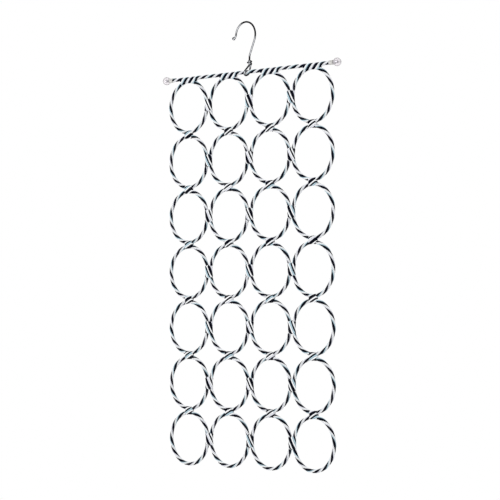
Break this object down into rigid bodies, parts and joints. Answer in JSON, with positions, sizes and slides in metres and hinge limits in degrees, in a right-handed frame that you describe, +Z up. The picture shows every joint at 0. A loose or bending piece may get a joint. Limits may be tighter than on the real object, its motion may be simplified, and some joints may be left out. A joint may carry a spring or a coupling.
{
  "type": "scarf hanger",
  "caption": "Folding scarf hanger: rows of strand-bound wire rings lashed side by side and one below the other under a bound bar, hung from an open wire hook.",
  "frame": {"origin": "top of the hook's inside bend, where it sits on a rail", "axes": "+Z up, +X along the bar to the right seen from the front, front faces -Y"},
  "size_m": [0.363, 0.0132, 0.6681],
  "materials": {
    "hook_steel": "bright plated wire",
    "steel": "drawn steel wire",
    "strands_white": "soft twisted strands, mostly white",
    "strands_blue": "soft twisted strands, light blue among white",
    "strands_navy": "soft twisted strand, navy",
    "ferrule": "dull tin, crimped",
    "clear_ball": "clear glossy plastic"
  },
  "bodies": {
    "hook": {"hook_wire": "hook_steel", "hook_tip_cap": "hook_steel"},
    "bar": {"bar_rod": "steel", "bar_wrap": "strands_white", "bar_strand": "strands_navy", "bar_lashings": "strands_blue", "ferrule_left": "ferrule", "ferrule_right": "ferrule", "end_ball_left": "clear_ball", "end_ball_right": "clear_ball", "ring_wires_1": "steel", "side_lashings_1": "strands_blue", "ring_wrap_1_1": "strands_white", "ring_wrap_1_2": "strands_white", "ring_wrap_1_3": "strands_white", "ring_wrap_1_4": "strands_white"},
    "row_2": {"row_lashings_2": "strands_blue", "ring_wires_2": "steel", "side_lashings_2": "strands_blue", "ring_wrap_2_1": "strands_white", "ring_wrap_2_2": "strands_white", "ring_wrap_2_3": "strands_white", "ring_wrap_2_4": "strands_white"},
    "row_3": {"row_lashings_3": "strands_blue", "ring_wires_3": "steel", "side_lashings_3": "strands_blue", "ring_wrap_3_1": "strands_white", "ring_wrap_3_2": "strands_white", "ring_wrap_3_3": "strands_white", "ring_wrap_3_4": "strands_white"},
    "row_4": {"row_lashings_4": "strands_blue", "ring_wires_4": "steel", "side_lashings_4": "strands_blue", "ring_wrap_4_1": "strands_white", "ring_wrap_4_2": "strands_white", "ring_wrap_4_3": "strands_white", "ring_wrap_4_4": "strands_white"},
    "row_5": {"row_lashings_5": "strands_blue", "ring_wires_5": "steel", "side_lashings_5": "strands_blue", "ring_wrap_5_1": "strands_white", "ring_wrap_5_2": "strands_white", "ring_wrap_5_3": "strands_white", "ring_wrap_5_4": "strands_white"},
    "row_6": {"row_lashings_6": "strands_blue", "ring_wires_6": "steel", "side_lashings_6": "strands_blue", "ring_wrap_6_1": "strands_white", "ring_wrap_6_2": "strands_white", "ring_wrap_6_3": "strands_white", "ring_wrap_6_4": "strands_white"},
    "row_7": {"row_lashings_7": "strands_blue", "ring_wires_7": "steel", "side_lashings_7": "strands_blue", "ring_wrap_7_1": "strands_white", "ring_wrap_7_2": "strands_white", "ring_wrap_7_3": "strands_white", "ring_wrap_7_4": "strands_white"}
  },
  "joints": [
    {"name": "bar_swing", "type": "hinge", "parent": "hook", "child": "bar", "pos_m": [0.0064, 0, -0.0742], "axis": [1, 0, 0], "range_deg": [-165, 165]},
    {"name": "row_2_fold", "type": "hinge", "parent": "bar", "child": "row_2", "pos_m": [0.0064, 0, -0.1568], "axis": [-1, 0, 0], "range_deg": [-150, 150]},
    {"name": "row_3_fold", "type": "hinge", "parent": "row_2", "child": "row_3", "pos_m": [0.0064, 0, -0.2411], "axis": [1, 0, 0], "range_deg": [-150, 150]},
    {"name": "row_4_fold", "type": "hinge", "parent": "row_3", "child": "row_4", "pos_m": [0.0064, 0, -0.3254], "axis": [-1, 0, 0], "range_deg": [-150, 150]},
    {"name": "row_5_fold", "type": "hinge", "parent": "row_4", "child": "row_5", "pos_m": [0.0064, 0, -0.4097], "axis": [1, 0, 0], "range_deg": [-150, 150]},
    {"name": "row_6_fold", "type": "hinge", "parent": "row_5", "child": "row_6", "pos_m": [0.0064, 0, -0.494], "axis": [-1, 0, 0], "range_deg": [-150, 150]},
    {"name": "row_7_fold", "type": "hinge", "parent": "row_6", "child": "row_7", "pos_m": [0.0064, 0, -0.5783], "axis": [1, 0, 0], "range_deg": [-150, 150]}
  ]
}
